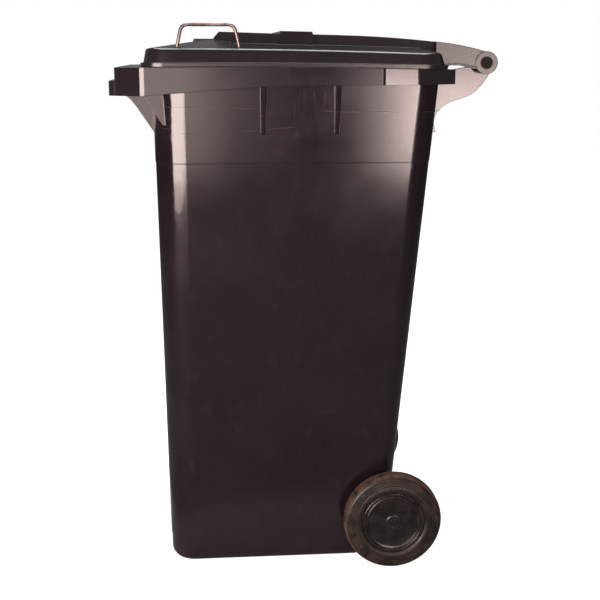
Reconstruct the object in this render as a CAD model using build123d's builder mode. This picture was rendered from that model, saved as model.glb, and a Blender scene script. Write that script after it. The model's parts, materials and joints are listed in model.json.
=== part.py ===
"""Two-wheeled refuse bin of the 240 litre class: tub, hinged lid, axle and two wheels.

+X is the left side of a person who pushes the bin by its rear handle, +Y runs from front to
rear and +Z is up. The origin is the centre of the bin's footprint box, on the ground.
Lengths are in millimetres.
"""
from build123d import *
import math
import os

# ---------------------------------------------------------------- overall
total_width = 580.0
total_depth = 741.0
front_y = -total_depth / 2
rear_y = total_depth / 2

# ---------------------------------------------------------------- tub
wall = 4.0
tub_blank_top = 1020.0
tub_taper_height = 970.0
half_width_base, half_width_top = 215.0, 258.0
wall_front_base, wall_front_top = -278.0, -291.5
wall_rear_base, wall_rear_top = 171.0, 256.0
corner_front_base, corner_front_top = 50.0, 62.0
corner_rear_base, corner_rear_top = 35.0, 47.0
plinth_height, plinth_inset = 55.0, 2.0
crease_height, crease_step = 831.0, 0.8
base_rounding = 24.0
base_rear_y = 118.0
base_rear_rounding = 25.0
axle_recess_top = 146.0
axle_recess_corner = 20.0
axle_recess_slope = 6.0

# ---------------------------------------------------------------- rim
half_rim = total_width / 2
rim_wall = 4.0
rim_low = 958.5
rim_rear_y = 288.0
comb_step = 11.3
comb_lip_top = 985.5
comb_half = 252.0
shoulder_y = -309.0
side_step_y, side_step = 142.0, 4.0
facet_end_y, facet_turn = 215.0, 2.5
seam_line = ((-380.0, 1009.6), (-34.0, 1010.3), (300.0, 1004.6))
comb_rib_count, comb_rib_pitch, comb_rib_thickness = 7, 66.0, 4.0
corner_gusset_x = 240.0
gusset_top = 1006.5
side_rib_y = (-83.7, 56.0)
side_rib_width, side_rib_foot_width = 11.0, 8.0
side_rib_low, side_rib_top = 885.0, 985.0
side_rib_face_low_x, side_rib_face_top_x = 257.5, 284.5
side_rib_chamfer = 2.0
side_rib_slot_width, side_rib_slot_low, side_rib_slot_high = 3.0, 946.0, 972.0

# ---------------------------------------------------------------- hinge
knuckle_radius = 21.7
hinge_y = rear_y - knuckle_radius
hinge_z = 1017.7
hinge_pin_radius = 6.0
running_gap = 0.06
moving_gap = 0.5
arm_outer_x, arm_width = 220.0, 24.0
arm_inner_x = arm_outer_x - arm_width
ear_outer_x = arm_inner_x - moving_gap
ear_thickness = 12.0
ear_boss_length, ear_boss_radius = 32.0, 15.0
pin_head_radius, pin_head_height, pin_head_recess = 11.0, 3.0, 2.5
knuckle_proud = 2.0
arm_low_z = 1012.5
grab_bar_y, grab_bar_z, grab_bar_radius = 332.0, 985.0, 13.0

# ---------------------------------------------------------------- lid
lid_wall = 3.6
seam_gap = 0.6
lid_half_low, lid_half_high = 283.0, 277.0
lid_front_low, lid_front_high = -309.0, -302.0
lid_rear_low, lid_rear_high = 268.0, 258.0
lid_corner_front, lid_corner_rear = 42.0, 50.0
edge_line = ((-330.0, 1043.4), (-24.0, 1041.5), (290.0, 1032.0))
roof_slope = 0.153
roof_flat_half = 150.0
plateau_front_y, plateau_foot_z = -180.0, 1056.0
plateau_half, plateau_nose_half, plateau_nose_y = 214.0, 152.0, -135.0
plateau_rear_y = 256.0
plateau_draft = 9.0
band_front_y, band_rear_y = -47.0, 13.0
pad_front_y, pad_rear_y, pad_half, pad_top = -212.0, -170.0, 70.0, 1064.0
bead_height, bead_step = 8.0, 1.6
lid_edge_radius = 6.0

# ---------------------------------------------------------------- lid handle
handle_x = 250.0
handle_radius = 3.25
handle_foot_front_y, handle_foot_rear_y = -241.5, -127.3
handle_top_front_y, handle_top_rear_y = -233.5, -136.5
handle_top_z = 1090.5
handle_end_z = 1026.0
fixing_pad_z = 1038.0
handle_bend = 14.0
handle_nut_flats, handle_nut_height = 10.0, 5.0
handle_washer_radius, handle_washer_height = 9.0, 1.6

# ---------------------------------------------------------------- axle and wheels
axle_y, axle_z = 176.0, 100.0
axle_radius = 10.0
axle_half_length = 261.0
wheel_radius = 100.0
wheel_outer_x, wheel_inner_x = 277.3, 231.5
tyre_seat_radius = 63.6
hub_radius = 22.0
lock_x = 253.0
lock_groove_radius, lock_groove_width = 7.0, 9.0
lock_pin_radius, lock_collar_radius, lock_stem_radius = 3.5, 5.0, 2.4
lock_tip, lock_collar_low, lock_collar_high, lock_stem_end = 7.4, 14.0, 16.0, 27.0
lock_plug_low, lock_plug_high = 33.0, 37.0
lock_tower_radius = 8.5
spring_wire_radius, spring_coil_radius, spring_turns = 0.45, 3.9, 5
washer_radius, washer_low_x, washer_high_x = 19.0, 229.2, 231.0
housing_outer_x = 228.6
housing_rib_x = (0.0, 72.0, 144.0)
housing_radius = 21.0

os.makedirs("parts", exist_ok=True)


def between(low, high, share):
    """Value a given share of the way from one number to another."""
    return low + (high - low) * share


def mirrored(side, low, high):
    """A span along X given for the left side, placed on either side."""
    return tuple(sorted((side * low, side * high)))


def finish_piece(piece, name):
    """Name a finished piece and write its file."""
    piece.part.label = name
    export_step(piece.part, f"parts/{name}.step")


def side_slab(profile, half_width, mode=Mode.ADD):
    """Thicken a side-view profile to both sides of the bin's middle plane."""
    extrude(profile.sketch, amount=half_width, both=True, mode=mode)


def curved_slab(curve, drop, far_z, half_width, mode):
    """A slab across the bin between a curved line in the side view and the level `far_z`."""
    (start_y, start_z), _, (end_y, end_z) = curve
    with BuildSketch(Plane.YZ) as profile:
        with BuildLine():
            ThreePointArc(*[(y, z - drop) for y, z in curve])
            Polyline((end_y, end_z - drop), (end_y, far_z), (start_y, far_z), (start_y, start_z - drop))
        make_face()
    side_slab(profile, half_width, mode)


def rod_x(y, z, radius, x_low, x_high, mode=Mode.ADD):
    """A round rod (or hole) along X between two places."""
    with BuildSketch(Plane.YZ.offset(x_low)) as end:
        with Locations((y, z)):
            Circle(radius)
    extrude(end.sketch, amount=x_high - x_low, mode=mode)


def side_plate(points, x_low, x_high, mode=Mode.ADD):
    """A flat plate with a straight-sided outline in the side view, between two places along X."""
    with BuildSketch(Plane.YZ.offset(x_low)) as outline:
        with BuildLine():
            Polyline(*points, close=True)
        make_face()
    extrude(outline.sketch, amount=x_high - x_low, mode=mode)


# ================================================================ tub
def tub_section(height, inset):
    """Plan of the tub at one height: both tapers and both pairs of corner radii are linear in height."""
    share = height / tub_taper_height
    half = between(half_width_base, half_width_top, share) - inset
    front = between(wall_front_base, wall_front_top, share) + inset
    rear = between(wall_rear_base, wall_rear_top, share) - inset
    front_radius = between(corner_front_base, corner_front_top, share) - inset
    rear_radius = between(corner_rear_base, corner_rear_top, share) - inset
    with BuildSketch(Plane.XY.offset(height)) as section:
        with Locations((0, (front + rear) / 2)):
            Rectangle(2 * half, rear - front)
        fillet(section.vertices().group_by(Axis.Y)[0], radius=front_radius)
        fillet(section.vertices().group_by(Axis.Y)[-1], radius=rear_radius)
    return section.sketch


def tub_band(low, high, inset):
    """One straight-walled length of the tub."""
    loft([tub_section(low, inset), tub_section(high, inset)])


def axle_recess(inset):
    """Step under the tub's rear: the base ends in a round and a wall that turns back over the axle."""
    wall_y = base_rear_y - inset
    round_radius = base_rear_rounding + inset
    round_start = (wall_y - round_radius, inset)
    round_end = (wall_y, round_radius + inset)
    inner_corner = (wall_y, axle_recess_top + inset)
    back_y = wall_rear_top
    with BuildSketch(Plane.YZ) as recess:
        with BuildLine():
            Line((round_start[0], -wall), round_start)
            RadiusArc(round_start, round_end, -round_radius)
            Polyline(
                round_end,
                inner_corner,
                (back_y, inner_corner[1] + axle_recess_slope),
                (back_y, -wall),
                (round_start[0], -wall),
            )
        make_face()
        corner = recess.vertices().sort_by_distance((0, *inner_corner))[0]
        fillet(corner, radius=axle_recess_corner - inset)
    side_slab(recess, half_rim, Mode.SUBTRACT)


def tub_form(inset, floor_z, top_z):
    """The tub as a solid block, `inset` inside its outer faces."""
    tub_band(floor_z, plinth_height, inset + plinth_inset)
    tub_band(plinth_height, crease_height, inset + crease_step)
    tub_band(crease_height, top_z, inset)


with BuildPart() as tub_outside:
    tub_form(0.0, 0.0, tub_blank_top)
    fillet(tub_outside.faces().sort_by(Axis.Z)[0].edges(), radius=base_rounding)
    axle_recess(0.0)
    curved_slab(seam_line, rim_wall / 2, tub_blank_top + 10, half_rim, Mode.SUBTRACT)

with BuildPart() as tub_inside:
    tub_form(wall, wall, tub_blank_top)
    fillet(tub_inside.faces().sort_by(Axis.Z)[0].edges(), radius=base_rounding - wall)
    axle_recess(wall)


# ================================================================ rim
def rim_plan(inset):
    """Plan of the rim: comb face and raked shoulders at the front, a shallow step along each side."""
    comb_y = front_y + comb_step + inset
    half = half_rim - inset
    left_side = [
        (comb_half - inset, comb_y),
        (half, shoulder_y + inset / 2),
        (half, side_step_y - side_step),
        (half - side_step, side_step_y),
        (half - side_step - facet_turn, facet_end_y),
        (arm_outer_x + 14, rim_rear_y - inset),
    ]
    right_side = [(-x, y) for x, y in reversed(left_side)]
    radii = [18, 20, 3, 3, 40, 26]
    with BuildSketch(Plane.XY.offset(rim_low - 20)) as plan:
        with BuildLine():
            FilletPolyline(*left_side, *right_side, radius=radii + radii[::-1], close=True)
        make_face()
    return plan.sketch


def comb_lip_plan(inset):
    """Plan of the comb's lower lip, which stands forward of the comb's upper face."""
    lip_y = front_y + inset
    half = comb_half - inset
    with BuildSketch(Plane.XY.offset(rim_low - 20)) as plan:
        with BuildLine():
            FilletPolyline(
                (-half - 12, shoulder_y - 24),
                (-half + 6, lip_y),
                (half - 6, lip_y),
                (half + 12, shoulder_y - 24),
                radius=[0, 16, 16, 0],
                close=True,
            )
        make_face()
    return plan.sketch


def cut_rim_underline(drop):
    """Cut the rim to its lower edge: level under the comb, rising in a curve along each side."""
    level_z = rim_low - drop
    curve_middle, curve_end = (-192, 967.5 - drop), (-60, 976.4 - drop)
    rear_z = 977.8 - drop
    with BuildSketch(Plane.YZ) as waste:
        with BuildLine():
            Line((front_y - 10, level_z), (shoulder_y, level_z))
            ThreePointArc((shoulder_y, level_z), curve_middle, curve_end)
            Polyline(
                curve_end,
                (rim_rear_y + 10, rear_z),
                (rim_rear_y + 10, rim_low - 60),
                (front_y - 10, rim_low - 60),
                (front_y - 10, level_z),
            )
        make_face()
    side_slab(waste, half_rim + 10, Mode.SUBTRACT)


def rim_form(inset, underside_drop):
    """The rim as a solid block, `inset` inside its outer faces and its top."""
    extrude(rim_plan(inset), amount=100)
    curved_slab(seam_line, inset, rim_low - 30, half_rim + 10, Mode.INTERSECT)
    lip_height = comb_lip_top - inset - rim_low + 20
    extrude(comb_lip_plan(inset), amount=lip_height)
    cut_rim_underline(underside_drop)


with BuildPart() as rim_outside:
    rim_form(0.0, 0.0)

with BuildPart() as rim_inside:
    rim_form(rim_wall, 15.0)


# ================================================================ body
def comb_gusset(x):
    """Raked web that ties the underside of the comb to the front wall."""
    outline = [
        (-356, gusset_top),
        (-356, 984),
        (-342, 966),
        (-341, 956),
        (-333, 949.5),
        (-321, 934),
        (-301, 904),
        (-289, 886),
        (-270, 886),
        (-270, gusset_top),
    ]
    side_plate(outline, x - comb_rib_thickness / 2, x + comb_rib_thickness / 2)


def corner_gusset(x):
    """Smaller web that ties the rim's front corner to the tub's rounded corner."""
    outline = [
        (-330, gusset_top),
        (-330, 975),
        (-309, 957),
        (-300, 946),
        (-272, 903),
        (-240, 903),
        (-240, gusset_top),
    ]
    side_plate(outline, x - comb_rib_thickness / 2, x + comb_rib_thickness / 2)


def side_rib(y, side):
    """Tapering post under the rim's side, chamfered at its face, with a slot in its upper third."""
    half_top, half_foot = side_rib_width / 2, side_rib_foot_width / 2
    foot_z = side_rib_low + half_foot
    with BuildSketch(Plane.YZ.offset(side * 250)) as outline:
        with BuildLine():
            Polyline(
                (y - half_foot, foot_z),
                (y - half_top, side_rib_top),
                (y + half_top, side_rib_top),
                (y + half_foot, foot_z),
            )
            RadiusArc((y + half_foot, foot_z), (y - half_foot, foot_z), half_foot)
        make_face()
    with BuildPart(mode=Mode.PRIVATE) as post:
        extrude(outline.sketch, amount=side * 40)
        with BuildSketch(Plane.XZ.offset(-y)) as face_line:
            with BuildLine():
                Polyline(
                    (side * 240, side_rib_low - 5),
                    (side * side_rib_face_low_x, side_rib_low - 5),
                    (side * side_rib_face_top_x, side_rib_top),
                    (side * 240, side_rib_top),
                    close=True,
                )
            make_face()
        extrude(face_line.sketch, amount=20, both=True, mode=Mode.INTERSECT)
        face = post.faces().sort_by(Axis.X)[-1 if side > 0 else 0]
        face_edges = [edge for edge in face.edges() if (edge @ 0.5).Z < side_rib_top - 1]
        chamfer(face_edges, length=side_rib_chamfer)
        side_rib_slot(y, side)
    add(post)


def side_rib_slot(y, side):
    """Narrow tapering slot sunk in a side post's face."""
    half_low, half_high = side_rib_slot_width / 5, side_rib_slot_width / 2
    with BuildSketch(Plane.YZ.offset(side * 262)) as slot:
        with BuildLine():
            Polyline(
                (y - half_low, side_rib_slot_low),
                (y - half_high, side_rib_slot_high),
                (y + half_high, side_rib_slot_high),
                (y + half_low, side_rib_slot_low),
                close=True,
            )
        make_face()
    extrude(slot.sketch, amount=side * 30, mode=Mode.SUBTRACT)


def hinge_ear(side):
    """Plate behind the rim that carries the lid's pin, with a round boss towards the middle."""
    x_near, x_far = side * ear_outer_x, side * (ear_outer_x - ear_thickness)
    with BuildSketch(Plane.YZ.offset(min(x_near, x_far))) as plate:
        with BuildLine():
            Spline(
                (258.5, 884),
                (261.5, 924),
                (282, 940.5),
                (324, 955.5),
                (349, 978),
                (361, 996),
            )
            Polyline(
                (361, 996),
                (361, 1006),
                (330, 1012),
                (280, 1003),
                (225, 1000),
                (225, 884),
                (258.5, 884),
            )
        make_face()
        with Locations((hinge_y, hinge_z)):
            Circle(knuckle_radius - 2)
        with BuildLine():
            Polyline(
                (hinge_y - 19.5, hinge_z),
                (330, 1000),
                (355, 990),
                (hinge_y + 19.5, hinge_z),
                close=True,
            )
        make_face()
    extrude(plate.sketch, amount=ear_thickness)
    boss_span = mirrored(side, ear_outer_x - ear_boss_length, ear_outer_x)
    rod_x(hinge_y, hinge_z, ear_boss_radius, *boss_span)


def axle_housing(x_low, x_high):
    """Web in the axle recess: it holds the axle and hangs from the recess's ceiling."""
    ceiling = axle_recess_top + 3
    outline = [
        (base_rear_y - 3, axle_z - 34),
        (axle_y - 6, axle_z - housing_radius + 1),
        (axle_y + housing_radius, axle_z),
        (axle_y + housing_radius, ceiling),
        (base_rear_y - 3, ceiling),
    ]
    side_plate(outline, x_low, x_high)
    rod_x(axle_y, axle_z, housing_radius, x_low, x_high)


with BuildPart() as body:
    add(rim_outside)
    add(rim_inside, mode=Mode.SUBTRACT)
    add(tub_outside)
    for step in range(comb_rib_count):
        comb_gusset((step - (comb_rib_count - 1) / 2) * comb_rib_pitch)
    for side in (-1, 1):
        corner_gusset(side * corner_gusset_x)
        for rib_y in side_rib_y:
            side_rib(rib_y, side)
        hinge_ear(side)
    rod_x(grab_bar_y, grab_bar_z, grab_bar_radius, -ear_outer_x + 1, ear_outer_x - 1)
    for rib_x in sorted({x * side for x in housing_rib_x for side in (-1, 1)}):
        axle_housing(rib_x - 3, rib_x + 3)
    for low_x, high_x in ((-housing_outer_x, -198.0), (198.0, housing_outer_x)):
        axle_housing(low_x, high_x)
    add(tub_inside, mode=Mode.SUBTRACT)
    rod_x(axle_y, axle_z, axle_radius + running_gap, -half_rim, half_rim, Mode.SUBTRACT)
    rod_x(hinge_y, hinge_z, hinge_pin_radius, -arm_outer_x, arm_outer_x, Mode.SUBTRACT)
finish_piece(body, "body")


# ================================================================ lid
def lid_plan(height, half, front, rear, inset):
    """Rounded rectangle of the lid's skirt at one height."""
    with BuildSketch(Plane.XY.offset(height)) as plan:
        with Locations((0, (front + rear) / 2)):
            Rectangle(2 * (half - inset), rear - front - 2 * inset)
        fillet(plan.vertices().group_by(Axis.Y)[0], radius=lid_corner_front - inset)
        fillet(plan.vertices().group_by(Axis.Y)[-1], radius=lid_corner_rear - inset)
    return plan.sketch


def roof_across(inset):
    """Cut the lid's margin to its two side slopes, which follow the curved edge line."""
    roof_rise = (lid_half_high - roof_flat_half) * roof_slope
    with BuildLine(Plane.YZ) as path:
        ThreePointArc(*[(y, z - inset) for y, z in edge_line])
    with BuildSketch(Plane(path.line @ 0, x_dir=(-1, 0, 0), z_dir=path.line % 0)) as across:
        with BuildLine():
            Polyline(
                (-lid_half_high - 30, -30 * roof_slope),
                (-lid_half_high, 0),
                (-roof_flat_half, roof_rise),
                (roof_flat_half, roof_rise),
                (lid_half_high, 0),
                (lid_half_high + 30, -30 * roof_slope),
                (lid_half_high + 30, -80),
                (-lid_half_high - 30, -80),
                close=True,
            )
        make_face()
    with BuildPart(mode=Mode.PRIVATE) as roof:
        sweep(across.sketch, path=path.line)
    add(roof, mode=Mode.INTERSECT)


def roof_along(inset):
    """Cut the lid's margin to its front and rear slopes."""
    front_edge_z, rear_edge_z = 1043.6 - inset, 1033.5 - inset
    crown_z = edge_line[1][1] + (lid_half_high - roof_flat_half) * roof_slope - inset
    crown_front_y = lid_front_high + (crown_z - front_edge_z) / roof_slope
    crown_rear_y = lid_rear_high - (crown_z - rear_edge_z) / (2 * roof_slope)
    outline = [
        (lid_front_high - 40, front_edge_z - 40 * roof_slope),
        (crown_front_y, crown_z),
        (crown_rear_y, crown_z),
        (lid_rear_high + 30, rear_edge_z - 30 * 2 * roof_slope),
        (lid_rear_high + 30, 980),
        (lid_front_high - 40, 980),
    ]
    with BuildSketch(Plane.YZ) as slopes:
        with BuildLine():
            Polyline(*outline, close=True)
        make_face()
    side_slab(slopes, 320, Mode.INTERSECT)


def plateau_block(inset):
    """Raised middle of the lid: chamfered nose, draughted sides and a top that falls to the rear."""
    half, nose_half = plateau_half - inset, plateau_nose_half - inset
    front, rear = plateau_front_y + inset, plateau_rear_y - inset
    with BuildPart(mode=Mode.PRIVATE) as block:
        with BuildSketch(Plane.XY.offset(1020)) as plan:
            with BuildLine():
                FilletPolyline(
                    (nose_half, front),
                    (half, plateau_nose_y),
                    (half, rear),
                    (-half, rear),
                    (-half, plateau_nose_y),
                    (-nose_half, front),
                    radius=[12, 16, 10, 10, 16, 12],
                    close=True,
                )
            make_face()
        extrude(plan.sketch, amount=90, taper=plateau_draft)
        with BuildSketch(Plane.YZ) as side_view:
            with BuildLine():
                Line((plateau_front_y, 1000), (plateau_front_y, plateau_foot_z - inset))
                Line((plateau_front_y, plateau_foot_z - inset), (-163, 1076.2 - inset))
                Spline(
                    (-163, 1076.2 - inset),
                    (-20, 1071.4 - inset),
                    (128, 1067.1 - inset),
                    (220, 1060.3 - inset),
                    (290, 1052.4 - inset),
                )
                Polyline((290, 1052.4 - inset), (290, 1000), (plateau_front_y, 1000))
            make_face()
        side_slab(side_view, 320, Mode.INTERSECT)
    add(block)


def on_skirt_top(edge):
    """True for the edges where the lid's roof meets its skirt."""
    middle = edge @ 0.5
    at_side = abs(middle.X) > lid_half_high - 20
    at_end = not lid_front_high + 20 < middle.Y < lid_rear_high - 20
    level = abs((edge @ 0).Z - (edge @ 1).Z) < 12
    return (at_side or at_end) and level and middle.Z > 1015


def lid_form(inset):
    """The lid as a solid block, `inset` inside its outer faces: plateau and sloping margin."""
    low = lid_plan(1000, lid_half_low, lid_front_low, lid_rear_low, inset)
    high = lid_plan(
        1070,
        2 * lid_half_high - lid_half_low,
        2 * lid_front_high - lid_front_low,
        2 * lid_rear_high - lid_rear_low,
        inset,
    )
    plateau_block(inset)
    with BuildPart(mode=Mode.PRIVATE) as margin:
        loft([low, high])
        roof_across(inset)
        roof_along(inset)
        top_edges = [edge for edge in margin.edges() if on_skirt_top(edge)]
        fillet(top_edges, radius=lid_edge_radius - inset)
    add(margin)


def raised_band():
    """Low band across the plateau and down its sides."""
    front, rear = band_front_y, band_rear_y
    outline = [(front - 6, 1050), (front, 1076.8), (rear, 1075.6), (rear + 6, 1050)]
    with BuildPart(mode=Mode.PRIVATE) as band:
        with BuildSketch(Plane.XZ.offset(-front + 10)) as across:
            with BuildLine():
                Polyline((-216, 1045), (-209.5, 1080), (209.5, 1080), (216, 1045), close=True)
            make_face()
        extrude(across.sketch, amount=-90)
        with BuildSketch(Plane.YZ) as side_view:
            with BuildLine():
                Polyline(*outline, close=True)
            make_face()
        side_slab(side_view, 320, Mode.INTERSECT)
    add(band)


def front_pad():
    """Shallow pad in front of the plateau, where a hand pushes the lid shut."""
    outline = [
        (pad_front_y - 4, 1052),
        (pad_front_y, pad_top),
        (pad_rear_y, pad_top),
        (pad_rear_y + 10, 1052),
    ]
    side_plate(outline, -pad_half, pad_half)


def lid_arm(side):
    """Arm from the plateau's side to the hinge: an open-bottomed box, a lower bead and a knuckle."""
    x_low, x_high = mirrored(side, arm_inner_x, arm_outer_x)
    end_y = 346.0
    arm_end = (end_y, hinge_z + math.sqrt(knuckle_radius**2 - (hinge_y - end_y) ** 2))
    with BuildSketch(Plane.YZ.offset(x_low)) as outline:
        with BuildLine():
            Spline((250, 1057.4), (270, 1055.1), (298, 1050.6), arm_end)
            Polyline(arm_end, (344, 1003), (300, arm_low_z), (250, arm_low_z), (250, 1057.4))
        make_face()
    extrude(outline.sketch, amount=x_high - x_low)
    pocket = [(272, 1000), (272, 1050), (300, 1045.5), (320, 1041), (320, 1000)]
    side_plate(pocket, x_low + lid_wall, x_high - lid_wall, Mode.SUBTRACT)
    bead = [
        (262, arm_low_z),
        (300, arm_low_z),
        (332, 1006),
        (332, 1009),
        (300, arm_low_z + 3),
        (262, arm_low_z + 3),
    ]
    side_plate(bead, *mirrored(side, arm_outer_x - 1, arm_outer_x + 1.5))
    rod_x(hinge_y, hinge_z, knuckle_radius, *mirrored(side, arm_inner_x, arm_outer_x + knuckle_proud))


with BuildPart() as lid_inside:
    lid_form(lid_wall)

with BuildPart() as lid:
    lid_form(0.0)
    raised_band()
    front_pad()
    with BuildPart(mode=Mode.PRIVATE) as bead:
        bead_front, bead_rear = lid_front_low - bead_step, lid_rear_low + bead_step
        extrude(lid_plan(1000, lid_half_low + bead_step, bead_front, bead_rear, 0), amount=40)
        curved_slab(seam_line, -bead_height, 990, half_rim, Mode.INTERSECT)
    add(bead)
    for side in (-1, 1):
        lid_arm(side)
    with BuildPart(mode=Mode.PRIVATE) as hollow:
        add(lid_inside)
        with BuildSketch(Plane.XY.offset(fixing_pad_z)) as pads:
            with Locations((handle_x, handle_foot_front_y), (handle_x, handle_foot_rear_y)):
                Circle(handle_washer_radius + 2)
        extrude(pads.sketch, amount=20, mode=Mode.SUBTRACT)
    add(hollow, mode=Mode.SUBTRACT)
    with BuildSketch(Plane.XY.offset(handle_end_z)) as foot_holes:
        with Locations((handle_x, handle_foot_front_y), (handle_x, handle_foot_rear_y)):
            Circle(handle_radius + running_gap)
    extrude(foot_holes.sketch, amount=40, mode=Mode.SUBTRACT)
    curved_slab(seam_line, -seam_gap, 900, half_rim + 5, Mode.SUBTRACT)
    knuckle_face = arm_outer_x + knuckle_proud
    for side in (-1, 1):
        bore = mirrored(side, arm_inner_x, knuckle_face)
        recess = mirrored(side, knuckle_face - pin_head_recess, knuckle_face)
        rod_x(hinge_y, hinge_z, hinge_pin_radius + running_gap, *bore, Mode.SUBTRACT)
        rod_x(hinge_y, hinge_z, pin_head_radius + moving_gap, *recess, Mode.SUBTRACT)
finish_piece(lid, "lid")


# ================================================================ lid handle and its fixings
with BuildPart() as lid_handle:
    with BuildLine() as handle_line:
        FilletPolyline(
            (handle_x, handle_foot_front_y, handle_end_z),
            (handle_x, handle_foot_front_y, 1050),
            (handle_x, handle_top_front_y, handle_top_z - handle_radius),
            (handle_x, handle_top_rear_y, handle_top_z - handle_radius),
            (handle_x, handle_foot_rear_y, 1050),
            (handle_x, handle_foot_rear_y, handle_end_z),
            radius=[20, handle_bend, handle_bend, 20],
        )
    with BuildSketch(Plane.XY.offset(handle_end_z)) as handle_section:
        with Locations((handle_x, handle_foot_front_y)):
            Circle(handle_radius)
    sweep(handle_section.sketch, path=handle_line.line)
finish_piece(lid_handle, "lid_handle")


def ring_z(x, y, z_low, height, outer, inner):
    """Flat ring on a vertical axis."""
    with BuildSketch(Plane.XY.offset(z_low)) as ring:
        with Locations((x, y)):
            Circle(outer)
            Circle(inner, mode=Mode.SUBTRACT)
    extrude(ring.sketch, amount=height)


with BuildPart() as handle_washers:
    for foot_y in (handle_foot_front_y, handle_foot_rear_y):
        ring_z(
            handle_x,
            foot_y,
            fixing_pad_z - handle_washer_height,
            handle_washer_height,
            handle_washer_radius,
            handle_radius,
        )
finish_piece(handle_washers, "handle_washers")

with BuildPart() as handle_nuts:
    nut_z = fixing_pad_z - handle_washer_height - handle_nut_height
    with BuildSketch(Plane.XY.offset(nut_z)) as nut_plan:
        with Locations((handle_x, handle_foot_front_y), (handle_x, handle_foot_rear_y)):
            RegularPolygon(handle_nut_flats / 2, 6, major_radius=False)
            Circle(handle_radius, mode=Mode.SUBTRACT)
    extrude(nut_plan.sketch, amount=handle_nut_height)
finish_piece(handle_nuts, "handle_nuts")


# ================================================================ hinge pins
for side, name in ((1, "left"), (-1, "right")):
    head_low = arm_outer_x + knuckle_proud - pin_head_recess + moving_gap
    head_high = head_low + pin_head_height
    with BuildPart() as hinge_pin:
        shank_low = ear_outer_x - ear_boss_length - 3
        rod_x(hinge_y, hinge_z, hinge_pin_radius, *mirrored(side, shank_low, head_low))
        rod_x(hinge_y, hinge_z, pin_head_radius, *mirrored(side, head_low, head_high))
        with BuildSketch(Plane.YZ.offset(side * head_high)) as rings:
            with Locations((hinge_y, hinge_z)):
                Circle(8.4)
                Circle(6.6, mode=Mode.SUBTRACT)
        extrude(rings.sketch, amount=-side * 0.8, mode=Mode.SUBTRACT)
        with BuildSketch(Plane.YZ.offset(side * head_high)) as dimple:
            with Locations((hinge_y, hinge_z)):
                Circle(3.6)
                Circle(1.6, mode=Mode.SUBTRACT)
        extrude(dimple.sketch, amount=-side * 1.0, mode=Mode.SUBTRACT)
        with BuildSketch(Plane.XZ.offset(-hinge_y)) as slot:
            with Locations((side * (shank_low + 6), hinge_z)):
                Rectangle(12, 2)
        extrude(slot.sketch, amount=10, both=True, mode=Mode.SUBTRACT)
    finish_piece(hinge_pin, f"hinge_pin_{name}")


# ================================================================ axle
with BuildPart() as axle:
    rod_x(axle_y, axle_z, axle_radius, -axle_half_length, axle_half_length)
    chamfer(axle.edges().group_by(Axis.X)[0] + axle.edges().group_by(Axis.X)[-1], length=2.0)
    for side in (-1, 1):
        groove = mirrored(side, lock_x - lock_groove_width / 2, lock_x + lock_groove_width / 2)
        with BuildSketch(Plane.YZ.offset(groove[0])) as groove_ring:
            with Locations((axle_y, axle_z)):
                Circle(axle_radius + 1)
                Circle(lock_groove_radius, mode=Mode.SUBTRACT)
        extrude(groove_ring.sketch, amount=lock_groove_width, mode=Mode.SUBTRACT)
finish_piece(axle, "axle")

with BuildPart() as axle_washers:
    for side in (-1, 1):
        low, high = mirrored(side, washer_low_x, washer_high_x)
        with BuildSketch(Plane.YZ.offset(low)) as washer_face:
            with Locations((axle_y, axle_z)):
                Circle(washer_radius)
                Circle(axle_radius + running_gap, mode=Mode.SUBTRACT)
        extrude(washer_face.sketch, amount=high - low)
finish_piece(axle_washers, "axle_washers")


# ================================================================ wheels
def wheel_plane(side):
    """Half-plane through the wheel's axis: first coordinate along the axle, second the radius."""
    return Plane(origin=(0, axle_y, axle_z), x_dir=(side, 0, 0), z_dir=(0, -side, 0))


def spin(profile):
    """Revolve a wheel profile about the axle."""
    revolve(profile.sketch, axis=Axis((0, axle_y, axle_z), (1, 0, 0)))


def tyre_profile(side):
    """Solid rubber tyre: flat tread, rounded shoulders and stepped rings on both walls."""
    outer, inner, seat = wheel_outer_x, wheel_inner_x, tyre_seat_radius
    with BuildSketch(wheel_plane(side)) as profile:
        with BuildLine():
            Polyline(
                (inner + 1.5, seat),
                (inner, seat + 5),
                (inner + 1.0, seat + 12),
                (inner + 2.2, 82),
                (inner + 4.5, 91),
            )
            Spline((inner + 4.5, 91), (inner + 7.5, 97), (inner + 14, wheel_radius))
            Line((inner + 14, wheel_radius), (outer - 15, wheel_radius))
            Spline((outer - 15, wheel_radius), (outer - 8.5, 97.4), (outer - 5.2, 92.5))
            Polyline(
                (outer - 5.2, 92.5),
                (outer - 4.0, 91.6),
                (outer - 3.8, 88.0),
                (outer - 2.9, 87.2),
                (outer - 2.7, 83.2),
                (outer - 1.8, 82.4),
                (outer - 1.6, 78.4),
                (outer - 0.7, 77.6),
            )
            Spline((outer - 0.7, 77.6), (outer, 72.5), (outer - 0.8, 67.5), (outer - 2.6, seat + 0.6))
            Polyline((outer - 2.6, seat + 0.6), (outer - 3.4, seat), (inner + 1.5, seat))
        make_face()
    return profile


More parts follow.
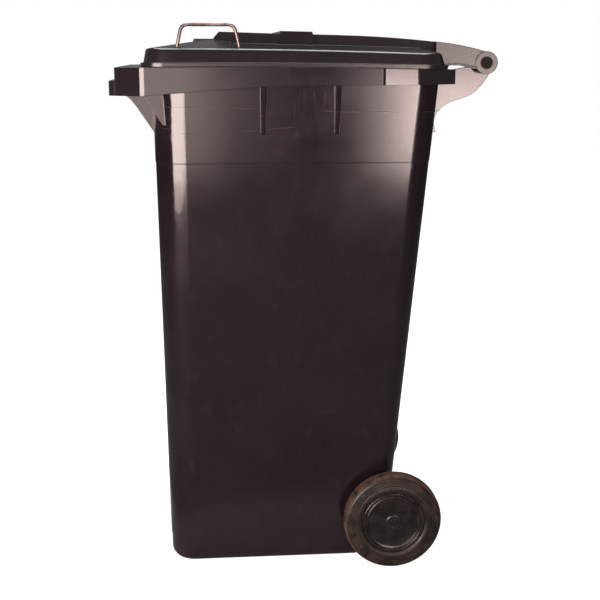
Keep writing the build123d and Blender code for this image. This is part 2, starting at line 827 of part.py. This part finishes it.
def core_profile(side):
    """Moulded wheel centre: hub tube, web and rim band."""
    hub_low, hub_high = wheel_inner_x, 262.0
    web_low, web_high = 241.0, 245.0
    band_low, band_high = wheel_inner_x + 2.0, wheel_outer_x - 2.6
    with BuildSketch(wheel_plane(side)) as profile:
        with BuildLine():
            Polyline(
                (hub_low, axle_radius + running_gap),
                (hub_high + 4, axle_radius + running_gap),
                (hub_high + 4, 0),
                (hub_high + 6, 0),
                (hub_high + 6, 14),
                (hub_high, hub_radius),
                (web_high, hub_radius),
                (web_high, tyre_seat_radius - 5),
                (band_high - 9, tyre_seat_radius - 5),
                (band_high - 9, tyre_seat_radius - 7),
                (band_high - 1.2, tyre_seat_radius - 7),
                (band_high, tyre_seat_radius - 5.6),
                (band_high, tyre_seat_radius - 1.4),
                (band_high - 1.0, tyre_seat_radius),
                (band_low, tyre_seat_radius),
                (band_low, tyre_seat_radius - 5),
                (web_low, tyre_seat_radius - 5),
                (web_low, hub_radius),
                (hub_low, hub_radius),
                close=True,
            )
        make_face()
    return profile


def lock_tower(side):
    """Upright tube on the hub that houses the sprung locking pin."""
    with BuildSketch(Plane.XY.offset(axle_z + axle_radius + 4)) as tower:
        with Locations((side * lock_x, axle_y)):
            Circle(lock_tower_radius)
    extrude(tower.sketch, amount=lock_plug_high - axle_radius - 4)


def upright_rod(side, radius, low, high, mode=Mode.ADD):
    """Round rod (or hole) on the locking pin's axis, between two distances above the axle's axis."""
    with BuildSketch(Plane.XY.offset(axle_z + low)) as end:
        with Locations((side * lock_x, axle_y)):
            Circle(radius)
    extrude(end.sketch, amount=high - low, mode=mode)


def web_rib(side, angle):
    """Radial stiffener behind the web, from the hub to the rim band."""
    with BuildPart(mode=Mode.PRIVATE) as rib:
        with BuildSketch(wheel_plane(side)) as outline:
            with BuildLine():
                Polyline(
                    (wheel_inner_x + 2, hub_radius - 2),
                    (wheel_inner_x + 5, tyre_seat_radius - 3),
                    (243, tyre_seat_radius - 3),
                    (243, hub_radius - 2),
                    close=True,
                )
            make_face()
        extrude(outline.sketch, amount=1.6, both=True)
    add(rib.part.rotate(Axis((0, axle_y, axle_z), (1, 0, 0)), angle))


for side, name in ((1, "left"), (-1, "right")):
    with BuildPart() as tyre:
        spin(tyre_profile(side))
    finish_piece(tyre, f"tyre_{name}")

    with BuildPart() as wheel_core:
        spin(core_profile(side))
        lock_tower(side)
        for step in range(8):
            web_rib(side, 22.5 + 45 * step)
        pin_bore, collar_bore = lock_pin_radius + running_gap, lock_collar_radius + running_gap
        upright_rod(side, pin_bore, axle_radius - 2, lock_collar_low, Mode.SUBTRACT)
        upright_rod(side, collar_bore, lock_collar_low - 0.3, lock_plug_high, Mode.SUBTRACT)
    finish_piece(wheel_core, f"wheel_core_{name}")

    with BuildPart() as wheel_cap:
        inner_x = 268.3
        with BuildSketch(wheel_plane(side)) as dish:
            with BuildLine():
                Polyline(
                    (inner_x, 0),
                    (inner_x, tyre_seat_radius - 7),
                    (wheel_outer_x - 4.2, tyre_seat_radius - 7),
                    (wheel_outer_x - 3.4, tyre_seat_radius - 8.4),
                    (inner_x + 4.6, 51.5),
                    (inner_x + 3.0, 50),
                    (inner_x + 3.0, 16.5),
                    (inner_x + 4.6, 15.8),
                    (inner_x + 5.4, 13.8),
                    (inner_x + 5.4, 0),
                    close=True,
                )
            make_face()
        spin(dish)
        with BuildSketch(Plane.YZ.offset(side * (inner_x + 5.4))) as ring:
            with Locations((axle_y, axle_z)):
                Circle(10.5)
                Circle(8.0, mode=Mode.SUBTRACT)
        extrude(ring.sketch, amount=-side * 0.8, mode=Mode.SUBTRACT)
    finish_piece(wheel_cap, f"wheel_cap_{name}")

    with BuildPart() as lock_pin:
        upright_rod(side, lock_pin_radius, lock_tip, lock_collar_low + 0.5)
        upright_rod(side, lock_collar_radius, lock_collar_low, lock_collar_high)
        upright_rod(side, lock_stem_radius, lock_collar_high, lock_stem_end)
        chamfer(lock_pin.faces().sort_by(Axis.Z)[0].edges(), length=1.2)
    finish_piece(lock_pin, f"lock_pin_{name}")

    with BuildPart() as lock_spring:
        spring_low = lock_collar_high + spring_wire_radius + 0.02
        spring_high = lock_plug_low - spring_wire_radius - 0.02
        coil = Helix(
            pitch=(spring_high - spring_low) / spring_turns,
            height=spring_high - spring_low,
            radius=spring_coil_radius,
            center=(side * lock_x, axle_y, axle_z + spring_low),
        )
        with BuildSketch(Plane(coil @ 0, z_dir=coil % 0)) as wire:
            Circle(spring_wire_radius)
        sweep(wire.sketch, path=coil)
    finish_piece(lock_spring, f"lock_spring_{name}")

    with BuildPart() as lock_plug:
        upright_rod(side, lock_collar_radius + running_gap, lock_plug_low, lock_plug_high)
    finish_piece(lock_plug, f"lock_plug_{name}")
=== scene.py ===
import json
import math

import bpy
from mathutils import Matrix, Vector

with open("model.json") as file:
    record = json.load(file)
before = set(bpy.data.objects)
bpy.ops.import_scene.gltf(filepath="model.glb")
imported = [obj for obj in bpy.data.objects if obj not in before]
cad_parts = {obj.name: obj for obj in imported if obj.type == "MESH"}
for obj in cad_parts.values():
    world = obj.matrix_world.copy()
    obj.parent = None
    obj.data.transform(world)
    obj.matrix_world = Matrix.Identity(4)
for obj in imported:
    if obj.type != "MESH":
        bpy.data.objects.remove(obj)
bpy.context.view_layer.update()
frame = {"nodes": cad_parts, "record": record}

# ---------------------------------------------------------------- sizes, in metres in the row frame
AXLE_Y, AXLE_Z = 0.176, 0.100
TREAD_RADIUS = 0.100
TYRE_RIDGES = (0.0915, 0.0872, 0.0824, 0.0776)

# ---------------------------------------------------------------- camera
CAMERA_PLACE = Vector((2.3875, -0.2000, 1.0381))
CAMERA_PITCH, CAMERA_YAW = math.radians(12.462), math.radians(4.976)
CAMERA_LENS, CAMERA_SENSOR = 67.37, 36.0

# ---------------------------------------------------------------- colours, linear
SHELL_DARK, SHELL_LIGHT = (0.0076, 0.0046, 0.0062), (0.0098, 0.0062, 0.0082)
SCUFF_COLOUR = (0.115, 0.088, 0.085)
HUB_DARK, HUB_LIGHT = (0.0034, 0.0026, 0.0023), (0.0062, 0.0046, 0.0040)
TYRE_DARK, TYRE_LIGHT = (0.0040, 0.0028, 0.0023), (0.0085, 0.0056, 0.0044)
DUST_COLOUR = (0.085, 0.046, 0.030)
WIRE_DARK, WIRE_LIGHT = (0.085, 0.062, 0.060), (0.21, 0.165, 0.158)
STEEL_DARK, STEEL_LIGHT = (0.33, 0.32, 0.30), (0.58, 0.56, 0.53)
PIN_DARK, PIN_LIGHT = (0.0050, 0.0034, 0.0028), (0.0120, 0.0080, 0.0062)
TARNISH_COLOUR = (0.10, 0.062, 0.045)

# ---------------------------------------------------------------- studio
WHITE, WARM = (1.0, 1.0, 1.0), (1.0, 0.80, 0.745)
FLOOR_HALF = 9.0
FLOOR_SEEN, FLOOR_GLOW = (0.45, 0.45, 0.45), 0.94
# Floor as seen only by light bounced onto the bin: a painted pool of light out to these radii (m) from
# the origin, dimmer beyond.
FLOOR_PAINTED_POOL, FLOOR_BEYOND_PAINTED_POOL = (0.32, 0.32, 0.34), (0.13, 0.13, 0.14)
PAINTED_POOL_INNER, PAINTED_POOL_OUTER = 0.42, 0.60
SURROUNDINGS = 0.20

# Soft boxes: name, place (m), point aimed at (m), width and height (m), watts, colour.
# Both main ones stand where the tub's side wall and its front corner mirror them to the camera.
SOFT_BOXES = (
    ("right", (4.15, 1.25, 0.47), (0.25, 0.2, 0.47), (0.76, 0.88), 46.0, WARM),
    ("right_top", (4.15, 1.25, 1.22), (0.25, 0.2, 1.22), (0.76, 0.60), 9.0, WARM),
    ("right_tail", (4.15, 0.74, 0.53), (0.25, 0.1, 0.53), (0.20, 1.00), 2.0, WARM),
    ("left", (2.843, -1.739, 0.80), (0.24, -0.25, 0.80), (2.35, 1.30), 195.0, WARM),
    ("left_tail", (4.15, -0.42, 0.60), (0.25, -0.2, 0.60), (0.55, 1.10), 8.5, WARM),
    ("middle_tail", (4.15, 0.02, 0.60), (0.25, 0.0, 0.60), (0.32, 1.10), 1.0, WARM),
    ("overhead", (-0.6, 0.0, 3.4), (-0.2, 0.0, 0.0), (2.6, 2.6), 170.0, WHITE),
)

# ---------------------------------------------------------------- wear

# Handling scratches: height (m), slope, half width (m), strokes per metre.
SCRATCHES = (
    (0.925, -0.030, 0.0011, 9.0),
    (0.916, 0.020, 0.0008, 14.0),
    (0.893, 0.045, 0.0007, 17.0),
    (0.874, -0.060, 0.0009, 12.0),
    (0.846, 0.110, 0.0007, 19.0),
    (0.968, 0.260, 0.0007, 23.0),
)
SCRATCH_WANDER = 0.012
WORN_LOW, WORN_HIGH = 0.76, 0.93
RIM_UNDERSIDE = 0.962


# ================================================================ node helpers
class Surface:
    """One procedural material: a Principled shader and short calls that add nodes feeding it."""

    def __init__(self, name, metallic=0.0, specular=0.5):
        self.material = bpy.data.materials.new(name)
        self.material.use_nodes = True
        self.tree = self.material.node_tree
        self.shader = self.tree.nodes["Principled BSDF"]
        self.shader.inputs["Metallic"].default_value = metallic
        self.shader.inputs["Specular IOR Level"].default_value = specular
        self.place = self.tree.nodes.new("ShaderNodeTexCoord").outputs["Object"]

    def add(self, kind, inputs=(), **settings):
        """Add a node, set its properties, and set or link its inputs by name or number."""
        node = self.tree.nodes.new(kind)
        for key, value in settings.items():
            setattr(node, key, value)
        for key, value in dict(inputs).items():
            if isinstance(value, bpy.types.NodeSocket):
                self.tree.links.new(value, node.inputs[key])
            else:
                node.inputs[key].default_value = value
        return node

    def stretched(self, scale):
        """Object coordinates stretched along each axis."""
        return self.add("ShaderNodeMapping", {"Vector": self.place, "Scale": scale}).outputs[0]

    def noise(self, scale, detail=3.0, roughness=0.55, where=None):
        """Noise value from 0 to 1; scale is in features per metre of the coordinates."""
        inputs = {"Scale": scale, "Detail": detail, "Roughness": roughness}
        inputs["Vector"] = where or self.place
        return self.add("ShaderNodeTexNoise", inputs).outputs["Fac"]

    def span(self, value, low, high, out_low=0.0, out_high=1.0):
        """Value mapped smoothly from low..high to out_low..out_high, and held beyond."""
        inputs = {"Value": value, "From Min": low, "From Max": high}
        inputs.update({"To Min": out_low, "To Max": out_high})
        return self.add("ShaderNodeMapRange", inputs, interpolation_type="SMOOTHSTEP").outputs["Result"]

    def sum(self, first, second, operation="ADD"):
        """Two numbers combined by a maths operation."""
        return self.add("ShaderNodeMath", {0: first, 1: second}, operation=operation).outputs[0]

    def product(self, first, second):
        """Two numbers multiplied."""
        return self.sum(first, second, "MULTIPLY")

    def mix(self, share, first, second):
        """Two colours mixed by a share."""
        node = self.add("ShaderNodeMix", {0: share}, data_type="RGBA")
        for socket, colour in ((node.inputs[6], first), (node.inputs[7], second)):
            if isinstance(colour, bpy.types.NodeSocket):
                self.tree.links.new(colour, socket)
            else:
                socket.default_value = (*colour, 1.0)
        return node.outputs[2]

    def axis(self, name):
        """One object coordinate, in metres."""
        return self.add("ShaderNodeSeparateXYZ", {"Vector": self.place}).outputs[name]

    def wheel_radius(self):
        """Distance from the axle, in metres."""
        inputs = {"Vector": self.place, "Location": (0.0, -AXLE_Y, -AXLE_Z), "Scale": (0.0, 1.0, 1.0)}
        flat = self.add("ShaderNodeMapping", inputs).outputs[0]
        return self.add("ShaderNodeVectorMath", {0: flat}, operation="LENGTH").outputs["Value"]

    def turned_rings(self, per_metre, detail):
        """Noise value that varies only with the distance from the axle."""
        inputs = {"W": self.wheel_radius(), "Scale": per_metre, "Detail": detail}
        return self.add("ShaderNodeTexNoise", inputs, noise_dimensions="1D").outputs["Fac"]

    def rounded(self, radius):
        """Normal with every sharp edge softened over a radius."""
        return self.add("ShaderNodeBevel", {"Radius": radius}, samples=4).outputs[0]

    def bump(self, height, distance, normal):
        """Normal moved by a height pattern of the given depth in metres."""
        inputs = {"Height": height, "Distance": distance, "Normal": normal, "Strength": 1.0}
        return self.add("ShaderNodeBump", inputs).outputs[0]

    def finish(self, colour, roughness, normal):
        """Feed the shader and give the material back."""
        for key, value in (("Base Color", colour), ("Roughness", roughness), ("Normal", normal)):
            self.tree.links.new(value, self.shader.inputs[key])
        return self.material


def scratch(surface, height, slope, width, break_up):
    """One long handling scratch round the tub: a thin wavering line, broken into strokes."""
    wander = surface.product(surface.noise(11.0, 2.0), SCRATCH_WANDER)
    drop = surface.product(surface.axis("Y"), -slope)
    line = surface.sum(surface.sum(surface.axis("Z"), drop), wander, "SUBTRACT")
    distance = surface.sum(surface.sum(line, height, "SUBTRACT"), 0.0, "ABSOLUTE")
    strokes = surface.span(surface.noise(break_up, 3.0), 0.55, 0.66)
    return surface.product(surface.span(distance, 0.0, width, 1.0, 0.0), strokes)


def handling_marks(surface):
    """All scratches and the hazy rubbed patches of the tub's upper part."""
    marks = None
    for line in SCRATCHES:
        one = scratch(surface, *line)
        marks = one if marks is None else surface.sum(marks, one, "MAXIMUM")
    upright = surface.stretched((300.0, 300.0, 9.0))
    streaks = surface.span(surface.noise(1.0, 3.0, 0.6, upright), 0.50, 0.80)
    patch = surface.span(surface.noise(6.0, 3.0), 0.48, 0.66)
    height = surface.axis("Z")
    below_rim = surface.span(height, RIM_UNDERSIDE, RIM_UNDERSIDE + 0.010, 1.0, 0.0)
    high_up = surface.product(surface.span(height, WORN_LOW, WORN_HIGH), below_rim)
    haze = surface.product(surface.product(streaks, patch), surface.product(high_up, 0.6))
    return surface.product(marks, high_up), haze


def moulded_plastic(name, dark, light, gloss):
    """Semi-gloss polyethylene: cloudy colour, handling scratches and faint orange peel."""
    surface = Surface(name, specular=0.5)
    cloud = surface.noise(7.0, 4.0)
    blotch = surface.noise(38.0, 3.0)
    marks, haze = handling_marks(surface)
    colour = surface.mix(surface.span(cloud, 0.35, 0.68), dark, light)
    colour = surface.mix(surface.product(marks, 0.30), colour, SCUFF_COLOUR)
    colour = surface.mix(surface.product(haze, 0.10), colour, SCUFF_COLOUR)
    colour = surface.mix(surface.product(surface.span(blotch, 0.55, 0.75), 0.03), colour, SCUFF_COLOUR)
    roughness = surface.span(cloud, 0.3, 0.75, gloss, gloss + 0.04)
    roughness = surface.sum(roughness, surface.product(blotch, 0.04))
    roughness = surface.sum(roughness, surface.product(haze, 0.12))
    peel = surface.bump(surface.noise(420.0, 3.0), 0.00004, surface.rounded(0.0020))
    waves = surface.bump(surface.noise(6.0, 1.0), 0.0003, peel)
    normal = surface.bump(marks, -0.00006, waves)
    return surface.finish(colour, roughness, normal)


def hub_plastic(name, dark, light, gloss, specular):
    """Black moulded plastic with faint turning marks and dust in its corners."""
    surface = Surface(name, specular=specular)
    radius = surface.wheel_radius()
    cloud = surface.noise(30.0, 4.0)
    dust = surface.product(surface.span(radius, 0.044, 0.053), surface.span(cloud, 0.42, 0.7))
    colour = surface.mix(surface.span(cloud, 0.3, 0.7), dark, light)
    colour = surface.mix(surface.product(dust, 0.12), colour, DUST_COLOUR)
    roughness = surface.span(cloud, 0.3, 0.7, gloss, gloss + 0.12)
    grain = surface.bump(surface.noise(700.0, 2.0), 0.00005, surface.rounded(0.0008))
    normal = surface.bump(surface.turned_rings(900.0, 2.0), 0.00004, grain)
    return surface.finish(colour, roughness, normal)


def tyre_rubber():
    """Solid rubber: brown dust worn into the tread, cleaner dark walls with fine mould rings."""
    surface = Surface("tyre_rubber", specular=0.3)
    radius = surface.wheel_radius()
    cloud = surface.noise(45.0, 4.0)
    grit = surface.noise(600.0, 3.0)
    tread = surface.span(radius, TREAD_RADIUS - 0.0065, TREAD_RADIUS - 0.0008)
    dusty = surface.product(tread, surface.span(cloud, 0.30, 0.55))
    flung = surface.product(surface.span(surface.noise(140.0, 4.0), 0.56, 0.72), 0.16)
    ridges = None
    for ridge in TYRE_RIDGES:
        away = surface.sum(surface.sum(radius, ridge, "SUBTRACT"), 0.0, "ABSOLUTE")
        line = surface.span(away, 0.0002, 0.0010, 1.0, 0.0)
        ridges = line if ridges is None else surface.sum(ridges, line, "MAXIMUM")
    # Lighter patchy lines painted along the mould ridges, in the dust colour.
    ridge_lines = surface.product(surface.product(ridges, surface.span(cloud, 0.42, 0.60)), 0.5)
    colour = surface.mix(surface.span(cloud, 0.3, 0.7), TYRE_DARK, TYRE_LIGHT)
    colour = surface.mix(flung, colour, DUST_COLOUR)
    colour = surface.mix(ridge_lines, colour, DUST_COLOUR)
    colour = surface.mix(surface.product(dusty, 0.75), colour, DUST_COLOUR)
    roughness = surface.sum(surface.span(cloud, 0.3, 0.7, 0.36, 0.52), surface.product(tread, 0.25))
    grain = surface.bump(grit, 0.00012, surface.rounded(0.0008))
    normal = surface.bump(surface.turned_rings(700.0, 1.0), 0.00010, grain)
    return surface.finish(colour, roughness, normal)


def plated_steel(name, dark, light, stretch):
    """Plated steel: drawn grain along the part, dulled patches and specks of tarnish."""
    surface = Surface(name, metallic=1.0)
    patch = surface.noise(60.0, 4.0)
    grain = surface.noise(1.0, 3.0, 0.5, surface.stretched(stretch))
    speck = surface.span(surface.noise(520.0, 2.0), 0.66, 0.74)
    colour = surface.mix(surface.span(patch, 0.3, 0.7), dark, light)
    colour = surface.mix(surface.product(speck, 0.55), colour, TARNISH_COLOUR)
    roughness = surface.sum(surface.span(patch, 0.3, 0.7, 0.24, 0.40), surface.product(grain, 0.12))
    normal = surface.bump(grain, 0.00004, surface.rounded(0.0004))
    return surface.finish(colour, roughness, normal)


MATERIALS = {
    "shell": moulded_plastic("shell_plastic", SHELL_DARK, SHELL_LIGHT, 0.085),
    "lid": moulded_plastic("lid_plastic", SHELL_DARK, SHELL_LIGHT, 0.19),
    "pin": hub_plastic("pin_plastic", PIN_DARK, PIN_LIGHT, 0.62, 0.2),
    "hub": hub_plastic("hub_plastic", HUB_DARK, HUB_LIGHT, 0.22, 0.4),
    "tyre": tyre_rubber(),
    "wire": plated_steel("wire_steel", WIRE_DARK, WIRE_LIGHT, (900.0, 30.0, 30.0)),
    "steel": plated_steel("zinc_steel", STEEL_DARK, STEEL_LIGHT, (25.0, 700.0, 700.0)),
}

for part in frame["record"]["subparts"]:
    mesh = frame["nodes"][part["node"]].data
    if not mesh.materials:
        mesh.materials.append(None)
    for place in range(len(mesh.materials)):
        mesh.materials[place] = MATERIALS[part["material_slot"]]


# ================================================================ studio
def add_floor():
    """Pale floor: white with contact shadows to the camera; to light bounced onto the bin it is duller,
    with a painted pool of light near the bin.
    """
    mesh = bpy.data.meshes.new("floor")
    corners = [(-1, -1), (1, -1), (1, 1), (-1, 1)]
    corners = [(x * FLOOR_HALF, y * FLOOR_HALF, 0.0) for x, y in corners]
    mesh.from_pydata(corners, [], [(0, 1, 2, 3)])
    floor = bpy.data.objects.new("floor", mesh)
    bpy.context.scene.collection.objects.link(floor)
    surface = Surface("floor", specular=0.0)
    seen = surface.add("ShaderNodeLightPath").outputs["Is Camera Ray"]
    away = surface.add("ShaderNodeVectorMath", {0: surface.place}, operation="LENGTH").outputs["Value"]
    # Painted pool of light on the floor near the bin, seen only by light bounced onto the bin.
    painted_pool_share = surface.span(away, PAINTED_POOL_INNER, PAINTED_POOL_OUTER, 1.0, 0.0)
    bounce_colour_with_painted_pool = surface.mix(painted_pool_share, FLOOR_BEYOND_PAINTED_POOL, FLOOR_PAINTED_POOL)
    colour = surface.mix(seen, bounce_colour_with_painted_pool, FLOOR_SEEN)
    surface.tree.links.new(colour, surface.shader.inputs["Base Color"])
    surface.shader.inputs["Roughness"].default_value = 0.8
    surface.shader.inputs["Emission Color"].default_value = (*WHITE, 1.0)
    surface.tree.links.new(surface.product(seen, FLOOR_GLOW), surface.shader.inputs["Emission Strength"])
    mesh.materials.append(surface.material)


def add_soft_box(name, place, aim, size, watts, colour):
    """A rectangular soft light."""
    lamp = bpy.data.lights.new(name, "AREA")
    lamp.shape = "RECTANGLE"
    lamp.size, lamp.size_y = size
    lamp.energy = watts
    lamp.color = colour
    holder = bpy.data.objects.new(name, lamp)
    holder.location = place
    holder.rotation_euler = (Vector(aim) - Vector(place)).to_track_quat("-Z", "Y").to_euler()
    bpy.context.scene.collection.objects.link(holder)


def add_camera():
    """Camera at the photographer's place."""
    level = math.cos(CAMERA_PITCH)
    along_x, along_y = -math.cos(CAMERA_YAW) * level, math.sin(CAMERA_YAW) * level
    toward = Vector((along_x, along_y, -math.sin(CAMERA_PITCH)))
    lens = bpy.data.cameras.new("camera")
    lens.lens, lens.sensor_width = CAMERA_LENS, CAMERA_SENSOR
    lens.clip_end = 60.0
    camera = bpy.data.objects.new("camera", lens)
    camera.location = CAMERA_PLACE
    camera.rotation_euler = toward.to_track_quat("-Z", "Y").to_euler()
    bpy.context.scene.collection.objects.link(camera)
    bpy.context.scene.camera = camera


def set_world():
    """White backdrop for the camera, dim even surroundings for the light on the bin."""
    world = bpy.data.worlds.new("surroundings")
    world.use_nodes = True
    tree = world.node_tree
    background = tree.nodes["Background"]
    background.inputs["Color"].default_value = (*WHITE, 1.0)
    seen = tree.nodes.new("ShaderNodeLightPath").outputs["Is Camera Ray"]
    strength = tree.nodes.new("ShaderNodeMapRange")
    strength.inputs["To Min"].default_value = SURROUNDINGS
    strength.inputs["To Max"].default_value = 1.0
    tree.links.new(seen, strength.inputs["Value"])
    tree.links.new(strength.outputs["Result"], background.inputs["Strength"])
    bpy.context.scene.world = world


add_floor()
set_world()
for soft_box in SOFT_BOXES:
    add_soft_box(*soft_box)
add_camera()
bpy.context.scene.view_settings.view_transform = "Standard"
